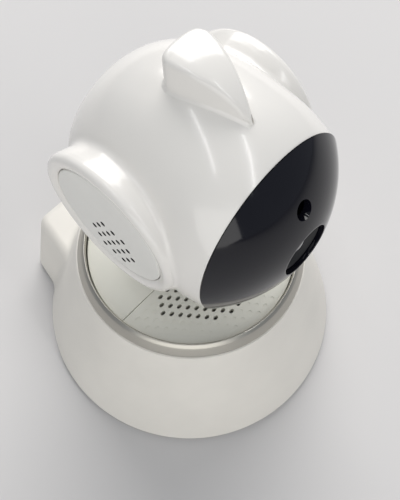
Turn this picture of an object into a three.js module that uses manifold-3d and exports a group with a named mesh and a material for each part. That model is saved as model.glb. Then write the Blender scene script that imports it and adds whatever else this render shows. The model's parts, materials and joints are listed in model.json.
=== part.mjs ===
// A pan and tilt baby monitor camera: a ball head with round ears on a turntable in a conical base.
// Millimetres, +Z up. The base is drawn about the pan axis and then moved, so that the origin is
// under the middle of the whole camera, at the plane the feet stand on.
// The head faces -Y, the connector pod is at +Y, and the tilt axis runs along X.
import * as THREE from "three";
import { mergeVertices } from "three/addons/utils/BufferGeometryUtils.js";
import Module from "manifold-3d";

const wasm = await Module();
wasm.setup();

// Driving dimensions of the base.
const BASE_FOOT_RADIUS = 52;
const BASE_TOP_RADIUS = 36.2;
const BASE_BOTTOM = 1.4;
const BASE_TOP = 45.1;
const WALL = 2.2;
const POD_END = 55.6;
const POD_HALF_WIDTH = 28.5;
const POD_DRAFT_X = 0.225;
const POD_DRAFT_Y = 0.09;
const POD_FLARE = 0.22;
const POD_CORNER = 3.6;
const POD_TOP = 28.5;
const RING_OUTER_RADIUS = 35.8;
const RING_SEAT_RADIUS = 34.9;
const RING_INNER_RADIUS = 32.8;
const RING_TOP = 49.5;

// Driving dimensions of the turntable and its drive.
const TURNTABLE_RADIUS = 32.5;
const TURNTABLE_TOP = 47;
const TURNTABLE_THICKNESS = 2.4;
const SEAM_Y = -2.2;
const SLOT_STEP_X = 3.3;
const SLOT_STEP_Y = 2.1;
const SLOT_FIELD_RADIUS = 25.6;
const SLOT_EDGE_X = 20;
const SLOT_EDGE_Y = -5;
const SLOT_EDGE_SLOPE = 0.62;
const GEAR_MODULE = 0.8;
const GEAR_TEETH = 48;
const PINION_TEETH = 12;
const PINION_BEARING_DEG = 225;

// Driving dimensions of the head, measured from the tilt axis.
const TILT_AXIS = new THREE.Vector3(0, 2.9, 90.7);
const REST_TILT_DEG = 3.9;
const TILT_UP_DEG = 45;
const TILT_DOWN_DEG = 35;
const BALL_RADIUS = 33.2;
const BALL_FORWARD = 5.6;
const FACE_DROP = 1;
const HEAD_HALF_WIDTH = 25.5;
const RIM_FORWARD = 27.8;
const RIM_RADIUS = 24.8;
const HEAD_REAR = 27.6;
const REAR_POWER = 2.8;
const REAR_FULLNESS = 0.32;
const HEAD_WALL = 2.1;
const REAR_SEAM = 21.6;
const EAR_LIP_RADIUS = 20.7;
const EAR_LIP_X = 27;
const EAR_CAP_RADIUS = 16.9;
const EAR_CAP_X = 26.2;
const DOME_RADIUS = 33.9;
const DOME_FORWARD = 5;
const DOME_WALL = 1.8;
const LENS_HOLE_RADIUS = 7.2;
const SENSOR_HOLE_RADIUS = 2.3;
const SENSOR_HOLE_UP = 14.4;
const GAP = 0.3;

// Colours and finishes of the moulded, metal and electronic pieces.
function finish(color, roughness, metalness = 0) {
  return { color, roughness, metalness };
}
const WHITE_SATIN = finish(0xe9e8e0, 0.45);
const WHITE_GLOSS = finish(0xf2f1ec, 0.15);
const WHITE_MATTE = finish(0xe3e6e8, 0.6);
const BLACK_GLOSS = finish(0x101014, 0.08);
const BLACK_MATTE = finish(0x17171a, 0.6);
const CHROME = finish(0xc4c4c0, 0.25, 1);
const STEEL = finish(0x9da0a4, 0.4, 1);
const BRASS_LIKE = finish(0xc9a86a, 0.4, 1);
const BOARD_GREEN = finish(0x1f5a3a, 0.5);
const RUBBER = finish(0x3a3a3c, 0.9);
const GLASS = finish(0x223044, 0.03);
const LED_CLEAR = finish(0xb9c4cf, 0.1);
const NYLON = finish(0xd8d4c4, 0.55);

// --- Solids -------------------------------------------------------------------------------------

// A closed geometry as a solid, with its faces turned outwards and its zero-area triangles left out.
function solidOf(geometry) {
  const plain = geometry.clone();
  plain.deleteAttribute("normal");
  plain.deleteAttribute("uv");
  const merged = mergeVertices(plain, 1e-4);
  const vertices = merged.getAttribute("position").array;
  const corners = [];
  let volume = 0;
  for (let i = 0; i < merged.index.count; i += 3) {
    const [a, b, c] = merged.index.array.slice(i, i + 3);
    if (a === b || b === c || c === a) continue;
    const [p, q, r] = [a, b, c].map((k) => new THREE.Vector3().fromArray(vertices, 3 * k));
    volume += p.dot(q.cross(r));
    corners.push(a, b, c);
  }
  if (volume < 0) corners.reverse();
  const mesh = new wasm.Mesh({
    numProp: 3,
    vertProperties: new Float32Array(vertices),
    triVerts: new Uint32Array(corners),
  });
  return new wasm.Manifold(mesh);
}

function geometryOf(solid) {
  const mesh = solid.getMesh();
  const geometry = new THREE.BufferGeometry();
  geometry.setAttribute("position", new THREE.BufferAttribute(mesh.vertProperties, 3));
  geometry.setIndex(new THREE.BufferAttribute(mesh.triVerts, 1));
  return geometry;
}

function joined(...solids) {
  return solids.reduce((whole, next) => whole.add(next));
}

function cut(solid, ...tools) {
  return tools.reduce((whole, tool) => whole.subtract(tool), solid);
}

// A box from its low and high corners.
function block(low, high) {
  const size = high.map((value, i) => value - low[i]);
  const geometry = new THREE.BoxGeometry(...size);
  geometry.translate(...high.map((value, i) => (value + low[i]) / 2));
  return solidOf(geometry);
}

// A body of revolution from [radius, height] points; turn lays its axis along x, y or z.
function revolved(profile, { along = "z", sides = 28, at = [0, 0, 0] } = {}) {
  const closed = profile[0][0] === 0 ? profile : [...profile, profile[0]];
  const geometry = new THREE.LatheGeometry(
    closed.map(([radius, height]) => new THREE.Vector2(radius, height)),
    sides,
  );
  if (along === "z") geometry.rotateX(Math.PI / 2);
  if (along === "x") geometry.rotateZ(-Math.PI / 2);
  geometry.translate(...at);
  return solidOf(geometry);
}

function rod(radius, from, to, options = {}) {
  const sides = radius < 2 ? 10 : 18;
  return revolved([[0, from], [radius, from], [radius, to], [0, to]], { sides, ...options });
}

function tube(outer, inner, from, to, options = {}) {
  const profile = [[inner, from], [outer, from], [outer, to], [inner, to]];
  return revolved(profile, { sides: 28, ...options });
}

// An outline of [u, v] points pushed from one level to another along x, y or z.
// Along z the outline is [x, y]; along x it is [y, z]; along y it is [x, z].
function pushed(outline, from, to, along = "z") {
  const shape = new THREE.Shape(outline.map(([u, v]) => new THREE.Vector2(u, v)));
  const geometry = new THREE.ExtrudeGeometry(shape, { depth: to - from, bevelEnabled: false });
  geometry.translate(0, 0, from);
  const axes = {
    x: [new THREE.Vector3(0, 1, 0), new THREE.Vector3(0, 0, 1), new THREE.Vector3(1, 0, 0)],
    y: [new THREE.Vector3(1, 0, 0), new THREE.Vector3(0, 0, 1), new THREE.Vector3(0, 1, 0)],
  };
  if (along !== "z") geometry.applyMatrix4(new THREE.Matrix4().makeBasis(...axes[along]));
  return solidOf(geometry);
}

// A skin through rings of equal count, closed by a fan to the middle of each end ring.
function lofted(rings) {
  const count = rings[0].length;
  const points = rings.flat();
  const middles = [rings[0], rings.at(-1)].map((ring) =>
    ring.reduce((sum, p) => sum.add(p), new THREE.Vector3()).divideScalar(count));
  points.push(...middles);
  const corners = [];
  const last = (rings.length - 1) * count;
  for (let i = 0; i < count; i += 1) {
    const next = (i + 1) % count;
    for (let k = 0; k < last; k += count) {
      corners.push(k + i, k + next, k + count + next, k + i, k + count + next, k + count + i);
    }
    corners.push(points.length - 2, next, i, points.length - 1, last + i, last + next);
  }
  const geometry = new THREE.BufferGeometry().setFromPoints(points);
  geometry.setIndex(corners);
  return solidOf(geometry);
}

function arc(centreU, centreV, radius, fromDeg, toDeg, steps) {
  return Array.from({ length: steps + 1 }, (_, i) => {
    const angle = THREE.MathUtils.degToRad(fromDeg + ((toDeg - fromDeg) * i) / steps);
    return [centreU + radius * Math.cos(angle), centreV + radius * Math.sin(angle)];
  });
}

function polar(radius, deg) {
  const angle = THREE.MathUtils.degToRad(deg);
  return [radius * Math.cos(angle), radius * Math.sin(angle)];
}

// --- The assembly -------------------------------------------------------------------------------

const camera = new THREE.Group();
const turntable = new THREE.Group();
const head = new THREE.Group();
head.position.copy(TILT_AXIS);
head.rotation.x = -THREE.MathUtils.degToRad(REST_TILT_DEG);
turntable.add(head);
camera.add(turntable);

function place(group, name, solid, look) {
  const mesh = new THREE.Mesh(geometryOf(solid), new THREE.MeshStandardMaterial(look));
  mesh.name = name;
  group.add(mesh);
}

// A pan-head screw whose shank points from its seat towards the tip, along one axis.
function screw(seat, tip, along, at) {
  const out = Math.sign(seat - tip);
  const head_ = rod(2, Math.min(seat, seat + out), Math.max(seat, seat + out), { along, at, sides: 14 });
  const shank = rod(1, Math.min(tip, seat), Math.max(tip, seat), { along, at, sides: 10 });
  const driveFrom = seat + out * 0.5;
  const reach = [Math.min(driveFrom, driveFrom + out), Math.max(driveFrom, driveFrom + out)];
  const across = { x: 1, y: 0, z: 0 }[along];
  const bars = [[1.3, 0.25], [0.25, 1.3]].map(([u, v]) => {
    const half = along === "x" ? [0, u, v] : along === "y" ? [u, 0, v] : [u, v, 0];
    const axis = "xyz".indexOf(along);
    const low = half.map((h, i) => (i === axis ? reach[0] : -h) + at[i]);
    const high = half.map((h, i) => (i === axis ? reach[1] : h) + at[i]);
    return block(low, high);
  });
  return cut(joined(head_, shank), ...bars);
}

// --- Base ---------------------------------------------------------------------------------------

function coneRadius(z) {
  const share = (z - 2) / (BASE_TOP - 2);
  return BASE_FOOT_RADIUS + (BASE_TOP_RADIUS - BASE_FOOT_RADIUS) * Math.max(share, 0);
}

// The cone and its pod, grown inwards by an inset, up to the top of the base.
function baseForm(inset, floor) {
  const cone = revolved(
    [
      [0, floor],
      [BASE_FOOT_RADIUS - inset - 0.5, floor],
      [coneRadius(floor + 0.6) - inset, floor + 0.6],
      [coneRadius(BASE_TOP) - inset, BASE_TOP],
      [0, BASE_TOP],
    ],
    { sides: 44 },
  );
  const corner = POD_CORNER - inset;
  function podRing(z, edge = 0) {
    const wide = POD_HALF_WIDTH - POD_DRAFT_X * (z - BASE_BOTTOM) - inset - edge;
    const end = POD_END - POD_DRAFT_Y * (z - BASE_BOTTOM) - inset - edge;
    const flared = wide + POD_FLARE * (end - 20);
    const outline = [
      [flared, 20],
      ...arc(wide - corner, end - corner, corner, 0, 90, 4),
      ...arc(-wide + corner, end - corner, corner, 90, 180, 4),
      [-flared, 20],
    ];
    return outline.map(([x, y]) => new THREE.Vector3(x, y, z));
  }
  const top = POD_TOP - inset;
  const pod = lofted([podRing(floor), podRing(top - 2), podRing(top - 0.6, 0.6), podRing(top, 2)]);
  return joined(cone, pod);
}

const JACK = { x: 9.5, halfWidth: 8, from: 33, to: 53, bottom: 10.7, top: 24.2 };
const INLET = { x: -8, halfWidth: 3.9, from: 47, to: 54, bottom: 10.7, top: 13.5 };
const BUTTON = { x: -16, z: 14, radius: 1.6, tip: 54.9 };
const COVER_SCREWS = [[38, 18], [-38, 18], [0, -43]];
const FEET = [[18, 43], [-18, 43], [25, -33], [-25, -33]];
const DECK_POSTS = [polar(33, 20), polar(33, 160), polar(33, 270)];
const BOARD_PEGS = [[17, 2], [-17, 2], [17, 31], [-17, 31]];

function baseShell() {
  const hollow = cut(baseForm(0, BASE_BOTTOM), baseForm(WALL, BASE_BOTTOM - 1));
  const ringSeat = rod(RING_SEAT_RADIUS + GAP, BASE_TOP - 1.5, BASE_TOP + 1, { sides: 44 });
  const jackHole = block(
    [JACK.x - JACK.halfWidth - GAP, POD_END - WALL - 4, JACK.bottom - GAP],
    [JACK.x + JACK.halfWidth + GAP, POD_END + 1, JACK.top + GAP],
  );
  const inletHole = block(
    [INLET.x - INLET.halfWidth - GAP, POD_END - WALL - 4, INLET.bottom - GAP],
    [INLET.x + INLET.halfWidth + GAP, POD_END + 1, INLET.top + GAP],
  );
  const buttonHole = rod(BUTTON.radius + GAP, POD_END - WALL - 4, POD_END + 1, {
    along: "y",
    at: [BUTTON.x, 0, BUTTON.z],
  });
  const bosses = COVER_SCREWS.map(([x, y]) =>
    tube(3, 1.3, BASE_BOTTOM + 4, 30, { at: [x, y, 0], sides: 12 }).intersect(baseForm(1, BASE_BOTTOM)));
  const flange = tube(BASE_TOP_RADIUS - 0.6, RING_INNER_RADIUS + 0.8, BASE_TOP - 3.5, BASE_TOP - 1.7, {
    sides: 44,
  });
  const body = cut(joined(hollow, flange), ringSeat, jackHole, inletHole, buttonHole);
  return joined(body, ...bosses);
}
place(camera, "base_shell", baseShell(), WHITE_SATIN);

place(
  camera,
  "trim_ring",
  revolved(
    [
      [RING_SEAT_RADIUS, BASE_TOP - 1.2],
      [RING_SEAT_RADIUS, BASE_TOP + GAP],
      [RING_OUTER_RADIUS, BASE_TOP + GAP],
      [RING_OUTER_RADIUS - 1.4, RING_TOP - 1],
      [RING_INNER_RADIUS + 0.5, RING_TOP],
      [RING_INNER_RADIUS, RING_TOP - 0.4],
      [RING_INNER_RADIUS, BASE_TOP - 1.2],
    ],
    { sides: 44 },
  ),
  CHROME,
);

function bottomCover() {
  const inset = WALL + GAP;
  const slab = block([-60, -60, BASE_BOTTOM], [60, 60, BASE_BOTTOM + 2]);
  const plate = baseForm(inset, BASE_BOTTOM - 1).intersect(slab);
  const holes = COVER_SCREWS.map(([x, y]) =>
    joined(rod(1.3, 0, 6, { at: [x, y, 0] }), rod(2.4, 0, BASE_BOTTOM + 1, { at: [x, y, 0] })));
  const posts = DECK_POSTS.map(([x, y]) =>
    tube(3.2, 1.3, BASE_BOTTOM + 1, 28.6, { at: [x, y, 0], sides: 12 }));
  const pegs = BOARD_PEGS.map(([x, y]) =>
    joined(rod(2.4, BASE_BOTTOM + 1, 8.7, { at: [x, y, 0] }), rod(1.2, 8, 10.9, { at: [x, y, 0] })));
  const footSeats = FEET.map(([x, y]) => rod(6.3, 0, BASE_BOTTOM + 0.5, { at: [x, y, 0] }));
  return cut(joined(plate, ...posts, ...pegs), ...holes, ...footSeats);
}
place(camera, "bottom_cover", bottomCover(), WHITE_MATTE);

FEET.forEach(([x, y], i) => {
  const profile = [[0, 0], [5.4, 0], [6, 0.5], [6, BASE_BOTTOM + 0.2], [0, BASE_BOTTOM + 0.2]];
  place(camera, `foot_${i + 1}`, revolved(profile, { at: [x, y, 0], sides: 18 }), RUBBER);
});

COVER_SCREWS.forEach(([x, y], i) => {
  place(camera, `cover_screw_${i + 1}`, screw(BASE_BOTTOM + 0.7, 11, "z", [x, y, 0]), STEEL);
});

// A steel crescent low in the front right of the base.
function counterweight() {
  const outline = [...arc(0, 0, 40, -70, -8, 10), ...arc(0, 0, 17, -8, -70, 6)];
  return pushed(outline, 3.8, 12);
}
place(camera, "counterweight", counterweight(), STEEL);

function mainBoard() {
  const holes = BOARD_PEGS.map(([x, y]) => rod(1.5, 8, 12, { at: [x, y, 0] }));
  return cut(block([-20, -1, 9], [20, 51.5, 10.4]), ...holes);
}
place(camera, "main_board", mainBoard(), BOARD_GREEN);

function ethernetJack() {
  const body = block(
    [JACK.x - JACK.halfWidth, JACK.from, JACK.bottom],
    [JACK.x + JACK.halfWidth, JACK.to, JACK.top],
  );
  const socket = block([JACK.x - 5.9, JACK.to - 13, 13.2], [JACK.x + 5.9, JACK.to + 1, 20]);
  const latch = block([JACK.x - 3, JACK.to - 13, 19.5], [JACK.x + 3, JACK.to + 1, 22.4]);
  return cut(body, socket, latch);
}
place(camera, "ethernet_jack", ethernetJack(), BLACK_MATTE);

function powerInlet() {
  const body = block(
    [INLET.x - INLET.halfWidth, INLET.from, INLET.bottom],
    [INLET.x + INLET.halfWidth, INLET.to, INLET.top],
  );
  const mouth = block([INLET.x - 3.5, INLET.to - 5.5, 11.1], [INLET.x + 3.5, INLET.to + 1, 13.1]);
  const tongue = block([INLET.x - 2, INLET.to - 6, 12], [INLET.x + 2, INLET.to - 1, 12.5]);
  return joined(cut(body, mouth), tongue);
}
place(camera, "power_inlet", powerInlet(), STEEL);

function resetButton() {
  const at = [BUTTON.x, 0, BUTTON.z];
  const stem = rod(BUTTON.radius, 48.5, BUTTON.tip, { along: "y", at });
  const collar = rod(BUTTON.radius + 1, 49.6, 51.4, { along: "y", at });
  return joined(stem, collar);
}
place(camera, "reset_button", resetButton(), BLACK_MATTE);

place(
  camera,
  "reset_switch",
  block([BUTTON.x - 2.6, 43.4, BUTTON.z - 2.3], [BUTTON.x + 2.6, 47.2, BUTTON.z + 2.3]),
  BLACK_MATTE,
);

// --- Pan drive ----------------------------------------------------------------------------------

const GEAR_RADIUS = (GEAR_MODULE * GEAR_TEETH) / 2;
const PINION_RADIUS = (GEAR_MODULE * PINION_TEETH) / 2;
const PINION_AT = [...polar(GEAR_RADIUS + PINION_RADIUS + 0.1, PINION_BEARING_DEG), 0];
const DECK_TOP = 31;
const GEAR_FROM = 33;
const GEAR_TO = 37;

// A spur gear outline with straight-sided teeth; phase turns its first tooth to a bearing.
function gearOutline(teeth, phaseDeg) {
  const pitch = (GEAR_MODULE * teeth) / 2;
  const step = 360 / teeth;
  return Array.from({ length: teeth }, (_, i) => {
    const middle = phaseDeg + i * step;
    return [
      polar(pitch - GEAR_MODULE * 1.15, middle - step * 0.31),
      polar(pitch + GEAR_MODULE * 0.85, middle - step * 0.1),
      polar(pitch + GEAR_MODULE * 0.85, middle + step * 0.1),
      polar(pitch - GEAR_MODULE * 1.15, middle + step * 0.31),
    ];
  }).flat();
}

function panDeck() {
  const plate = rod(28, DECK_TOP - 2, DECK_TOP, { sides: 36 });
  const lugs = DECK_POSTS.map(([x, y]) => rod(5, DECK_TOP - 2, DECK_TOP, { at: [x, y, 0] }));
  const arms = DECK_POSTS.map(([x, y]) => {
    const across = new THREE.Vector2(x, y).normalize().rotateAround(new THREE.Vector2(), Math.PI / 2);
    const corners = [[24, 5], [33, 5], [33, -5], [24, -5]].map(([r, side]) => [
      (x / 33) * r + across.x * side,
      (y / 33) * r + across.y * side,
    ]);
    return pushed(corners, DECK_TOP - 2, DECK_TOP);
  });
  const spigot = revolved([
    [0, DECK_TOP - 1], [5.6, DECK_TOP - 1], [5.6, 38.5], [4.6, 38.5], [4.6, 40.1],
    [5.6, 40.1], [5.2, 41.1], [0, 41.1],
  ]);
  const cableWay = rod(3.4, 20, 50);
  const holes = DECK_POSTS.map(([x, y]) => rod(1.3, 20, 40, { at: [x, y, 0] }));
  const shaftHole = rod(6.2, 20, 40, { at: PINION_AT });
  return cut(joined(plate, ...lugs, ...arms, spigot), cableWay, ...holes, shaftHole);
}
place(camera, "pan_deck", panDeck(), WHITE_MATTE);

DECK_POSTS.forEach(([x, y], i) => {
  place(camera, `deck_screw_${i + 1}`, screw(DECK_TOP + GAP, 22, "z", [x, y, 0]), STEEL);
});

function panMotor() {
  const can = rod(12.5, 12, DECK_TOP - 2.3, { at: PINION_AT, sides: 32 });
  const boss = rod(4.5, 20, DECK_TOP - 0.5, { at: PINION_AT });
  return joined(can, boss);
}
place(camera, "pan_motor", panMotor(), STEEL);

place(
  camera,
  "thrust_washer",
  tube(10.5, 6, DECK_TOP + 0.2, DECK_TOP + 0.7),
  BRASS_LIKE,
);

// The clip that keeps the hub on the deck's spigot is open on one side, so it snaps into the groove.
place(
  camera,
  "hub_clip",
  cut(tube(7.6, 4.9, 38.8, 39.8), block([-1.5, 0, 38], [1.5, 9, 41])),
  STEEL,
);

function panPinion() {
  const outline = gearOutline(PINION_TEETH, PINION_BEARING_DEG + 180 + 180 / PINION_TEETH);
  const teeth = pushed(outline, GEAR_FROM - 0.3, GEAR_TO + 0.3);
  const collar = rod(2.4, DECK_TOP - 0.2, GEAR_FROM);
  const geometry = geometryOf(joined(teeth, collar));
  geometry.translate(...PINION_AT);
  return solidOf(geometry);
}
place(camera, "pan_pinion", panPinion(), NYLON);

// --- Turntable ----------------------------------------------------------------------------------

const FLANGE_FROM = 39.9;
const FLANGE_TO = 42;
const YOKE_FOOT_TO = 44.3;
const DISC_BOTTOM = TURNTABLE_TOP - TURNTABLE_THICKNESS;
const REAR_SCREWS = [[10.5, 7], [-10.5, 7]];
const FRONT_SCREWS = [[10, -8], [-10, -8]];
const NECK_HALF_WIDTH = 5;
const NECK_FROM_Y = 7;
const NECK_TO_Y = 17;
const NECK_BEND_Z = 60;

function panHub() {
  const body = revolved([
    [6, DECK_TOP + 0.9], [9.9, DECK_TOP + 0.9], [9.9, FLANGE_FROM], [15, FLANGE_FROM], [15, FLANGE_TO],
    [8.5, FLANGE_TO], [8.5, 38.4], [6, 38.4],
  ]);
  const rim = pushed(gearOutline(GEAR_TEETH, PINION_BEARING_DEG), GEAR_FROM, GEAR_TO);
  const bore = rod(8, 30, 45, { sides: 32 });
  const holes = [...REAR_SCREWS, ...FRONT_SCREWS].map(([x, y]) => rod(1.3, 30, 45, { at: [x, y, 0] }));
  const clear = [...REAR_SCREWS, ...FRONT_SCREWS].map(([x, y]) => rod(2.5, 30, 38, { at: [x, y, 0] }));
  return cut(joined(body, cut(rim, bore)), ...holes, ...clear);
}
place(turntable, "pan_hub", panHub(), NYLON);

function halfDisc(front) {
  const disc = revolved(
    [
      [0, DISC_BOTTOM],
      [TURNTABLE_RADIUS, DISC_BOTTOM],
      [TURNTABLE_RADIUS, TURNTABLE_TOP - 0.4],
      [TURNTABLE_RADIUS - 0.4, TURNTABLE_TOP],
      [0, TURNTABLE_TOP],
    ],
    { sides: 44 },
  );
  const keep = front
    ? block([-40, -40, 40], [40, SEAM_Y - 0.15, 50])
    : block([-40, SEAM_Y + 0.15, 40], [40, 40, 50]);
  return disc.intersect(keep);
}

function turntableRear() {
  const neckHole = block(
    [-NECK_HALF_WIDTH - GAP, NECK_FROM_Y - GAP, 40],
    [NECK_HALF_WIDTH + GAP, NECK_TO_Y + GAP, 50],
  );
  const pilots = REAR_SCREWS.map(([x, y]) => rod(1.2, 40, TURNTABLE_TOP - 0.7, { at: [x, y, 0] }));
  return cut(halfDisc(false), neckHole, ...pilots);
}
place(turntable, "turntable_rear", turntableRear(), WHITE_SATIN);

// The staggered rows of through slots that show round the head, in front of the seam.
function slotCentres() {
  const centres = [];
  for (let row = 2; row * SLOT_STEP_Y < SLOT_FIELD_RADIUS; row += 1) {
    const y = -0.8 - row * SLOT_STEP_Y;
    const stagger = row % 2 ? SLOT_STEP_X / 2 : 0;
    for (let x = -SLOT_STEP_X * 8 + stagger; x < SLOT_FIELD_RADIUS; x += SLOT_STEP_X) {
      const radius = Math.hypot(x, y);
      const clearOfScrews = FRONT_SCREWS.every(([u, v]) => Math.hypot(x - u, y - v) > 5);
      const insideEdge = Math.abs(x) < SLOT_EDGE_X + SLOT_EDGE_SLOPE * (SLOT_EDGE_Y - y);
      if (radius < SLOT_FIELD_RADIUS && radius > 11.5 && insideEdge && clearOfScrews) {
        centres.push([x, y]);
      }
    }
  }
  return centres;
}

function turntableGrille() {
  const slots = slotCentres().map(([x, y]) => block([x - 0.85, y - 0.5, 43], [x + 0.85, y + 0.5, 48]));
  const bosses = FRONT_SCREWS.map(([x, y]) => rod(3, FLANGE_TO + GAP, DISC_BOTTOM + 1, { at: [x, y, 0] }));
  const pilots = FRONT_SCREWS.map(([x, y]) => rod(1.2, 40, TURNTABLE_TOP - 0.7, { at: [x, y, 0] }));
  return cut(joined(halfDisc(true), ...bosses), ...pilots, ...slots);
}
place(turntable, "turntable_grille", turntableGrille(), WHITE_SATIN);

[...REAR_SCREWS, ...FRONT_SCREWS].forEach(([x, y], i) => {
  const name = `turntable_screw_${i + 1}`;
  place(turntable, name, screw(FLANGE_FROM - GAP, TURNTABLE_TOP - 1, "z", [x, y, 0]), STEEL);
});

function speaker() {
  const profile = [
    [0, 40.2], [4.5, 40.2], [4.5, 41.2], [6.8, 42.4], [6.8, DISC_BOTTOM - GAP],
    [6, DISC_BOTTOM - GAP], [4, 42.9], [0, 42.6],
  ];
  return revolved(profile, { at: [0, -23, 0], sides: 28 });
}
place(turntable, "speaker", speaker(), BLACK_MATTE);

// The neck stands on its foot between hub and turntable and carries the head's two pivots.
function yoke() {
  const { y: axisY, z: axisZ } = TILT_AXIS;
  const side = [
    [NECK_FROM_Y, FLANGE_TO + GAP],
    [NECK_TO_Y, FLANGE_TO + GAP],
    [NECK_TO_Y, NECK_BEND_Z],
    ...arc(axisY, axisZ, 5.5, 0, 180, 10),
    [NECK_FROM_Y, NECK_BEND_Z + 2],
  ];
  const post = pushed(side, -NECK_HALF_WIDTH, NECK_HALF_WIDTH, "x");
  const foot = rod(14, FLANGE_TO + GAP, YOKE_FOOT_TO, { sides: 32 })
    .intersect(block([-20, -1, 40], [20, 20, 46]));
  const crossTube = rod(5.5, -8, 8, { along: "x", at: [0, axisY, axisZ] });
  const shaftBore = rod(2.8, -9, 9, { along: "x", at: [0, axisY, axisZ] });
  const screwHoles = REAR_SCREWS.map(([x, y]) => rod(1.3, 40, 46, { at: [x, y, 0] }));
  const cableWay = rod(6.5, 40, 46);
  return cut(joined(post, foot, crossTube), shaftBore, ...screwHoles, cableWay);
}
place(turntable, "yoke", yoke(), WHITE_MATTE);

place(
  turntable,
  "tilt_drive_shaft",
  rod(2.5, 1, 15, { along: "x", at: [0, TILT_AXIS.y, TILT_AXIS.z] }),
  STEEL,
);
place(
  turntable,
  "pivot_pin",
  rod(2.5, -13, -1, { along: "x", at: [0, TILT_AXIS.y, TILT_AXIS.z] }),
  STEEL,
);

// --- Head ---------------------------------------------------------------------------------------

// The head's outer surface: an upright ball, narrowed from side to side, with a round face opening.
function headRing(forward, inset) {
  const rise = Math.sqrt(Math.max(BALL_RADIUS ** 2 - (forward - BALL_FORWARD) ** 2, 0));
  const rearShare = Math.max(BALL_FORWARD - forward, 0) / (HEAD_REAR + BALL_FORWARD);
  const frontShare = Math.max(forward - BALL_FORWARD, 0) / (RIM_FORWARD - BALL_FORWARD);
  const wide = (HEAD_HALF_WIDTH - (HEAD_HALF_WIDTH - RIM_RADIUS) * frontShare ** 4)
    * Math.max(1 - rearShare ** REAR_POWER, 0) ** REAR_FULLNESS;
  const sides = 32;
  return Array.from({ length: sides }, (_, i) => {
    const angle = (2 * Math.PI * (i + 0.5)) / sides;
    const x = Math.max(wide - inset, 0.5) * Math.cos(angle);
    const z = Math.max(rise - inset, 0.5) * Math.sin(angle) - FACE_DROP;
    return new THREE.Vector3(x, -forward, z);
  });
}

function headForm(inset, front) {
  const rear = -HEAD_REAR + inset + 0.05;
  const steps = 8;
  const rings = Array.from({ length: steps + 1 }, (_, i) => {
    const angle = (Math.PI / 2) * (1 - i / steps);
    return headRing(BALL_FORWARD - (BALL_FORWARD - rear) * Math.sin(angle), inset);
  });
  [0.35, 0.7, 1].forEach((share) => {
    rings.push(headRing(BALL_FORWARD + (front - BALL_FORWARD) * share, inset));
  });
  return lofted(rings);
}

// An ear flares from the head to a rounded lip that stands a little proud of its cap.
function earForm(side) {
  const profile = [
    [0, 12], [18.4, 12], [19.2, 19], [19.8, 21.2], [20.3, 23], [EAR_LIP_RADIUS - 0.1, 24.3],
    [EAR_LIP_RADIUS, 25.3], [EAR_LIP_RADIUS - 0.3, 26.3], [EAR_LIP_RADIUS - 1.2, EAR_LIP_X],
    [18.6, EAR_LIP_X], [EAR_CAP_RADIUS + GAP, EAR_CAP_X + 0.2], [0, EAR_CAP_X + 0.2],
  ];
  const solid = revolved(profile, { along: "x", sides: 32 });
  return side > 0 ? solid : solid.mirror([1, 0, 0]);
}

function crestForm() {
  const side = [
    [2, 10],
    [-1, 30],
    [-0.8, 36],
    ...arc(-3.4, 20.5, 19, 83, 152, 8),
    [-19.5, 24],
    [-12, 10],
  ];
  const slab = pushed(side, -10, 10, "x");
  const edge = new THREE.QuadraticBezierCurve(
    new THREE.Vector2(6.1, -2),
    new THREE.Vector2(6, -8),
    new THREE.Vector2(0, -21),
  ).getPoints(6);
  const plan = [[5.2, 0], ...edge.map(({ x, y }) => [x, y])];
  const outline = [...plan, ...plan.slice(0, -1).reverse().map(([x, y]) => [-x, y])];
  return slab.intersect(pushed(outline, 5, 45));
}

// The sweep that the neck makes through the underside of the shell over the whole tilt range.
function neckSweep() {
  const drop = TILT_AXIS.z - NECK_BEND_Z;
  const rearEdge = THREE.MathUtils.radToDeg(Math.atan2(NECK_TO_Y - TILT_AXIS.y, drop));
  const frontEdge = THREE.MathUtils.radToDeg(Math.atan2(NECK_FROM_Y - TILT_AXIS.y, drop));
  const rear = -90 + rearEdge + TILT_UP_DEG + 4;
  const front = -90 + frontEdge - TILT_DOWN_DEG - 3;
  const outline = [...arc(0, 0, 44, front, rear, 12), ...arc(0, 0, 22, rear, front, 8)];
  return pushed(outline, -NECK_HALF_WIDTH - 1.2, NECK_HALF_WIDTH + 1.2, "x");
}

// Each ear holds a cup: the tilt motor's on one side, the pivot's and the microphone's on the other.
function earCup(side) {
  const web = rod(18.2, 19.6, 24.3, { along: "x", sides: 32 });
  const cup = rod(13, 9, 21, { along: "x", sides: 28 });
  const solid = joined(web, cup);
  return side > 0 ? solid : solid.mirror([1, 0, 0]);
}

function earBore(side) {
  const bore = revolved(
    [
      [0, 11], [11.5, 11], [11.5, 21.6], [15, 21.6], [15, 24.3],
      [EAR_CAP_RADIUS + GAP, 24.3], [EAR_CAP_RADIUS + GAP, 30], [0, 30],
    ],
    { along: "x", sides: 32 },
  );
  const bush = rod(4, 8, 12, { along: "x" });
  const solid = joined(bore, bush);
  return side > 0 ? solid : solid.mirror([1, 0, 0]);
}

function headShell() {
  const outer = joined(headForm(0, RIM_FORWARD), earForm(1), earForm(-1), crestForm());
  const inner = headForm(HEAD_WALL, RIM_FORWARD + 3);
  const cups = joined(earCup(1), earCup(-1));
  const full = joined(cut(outer, inner), cups);
  const motorScrewHoles = [90, -90].map((deg) => {
    const [y, z] = polar(13.3, deg);
    return rod(0.8, 16, 24, { along: "x", at: [0, y, z], sides: 12 });
  });
  return cut(full, neckSweep(), earBore(1), earBore(-1), ...motorScrewHoles);
}

const shell = headShell();
place(
  head,
  "head_shell",
  shell.intersect(block([-40, -40, -45], [40, REAR_SEAM - 0.15, 45])),
  WHITE_GLOSS,
);

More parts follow.
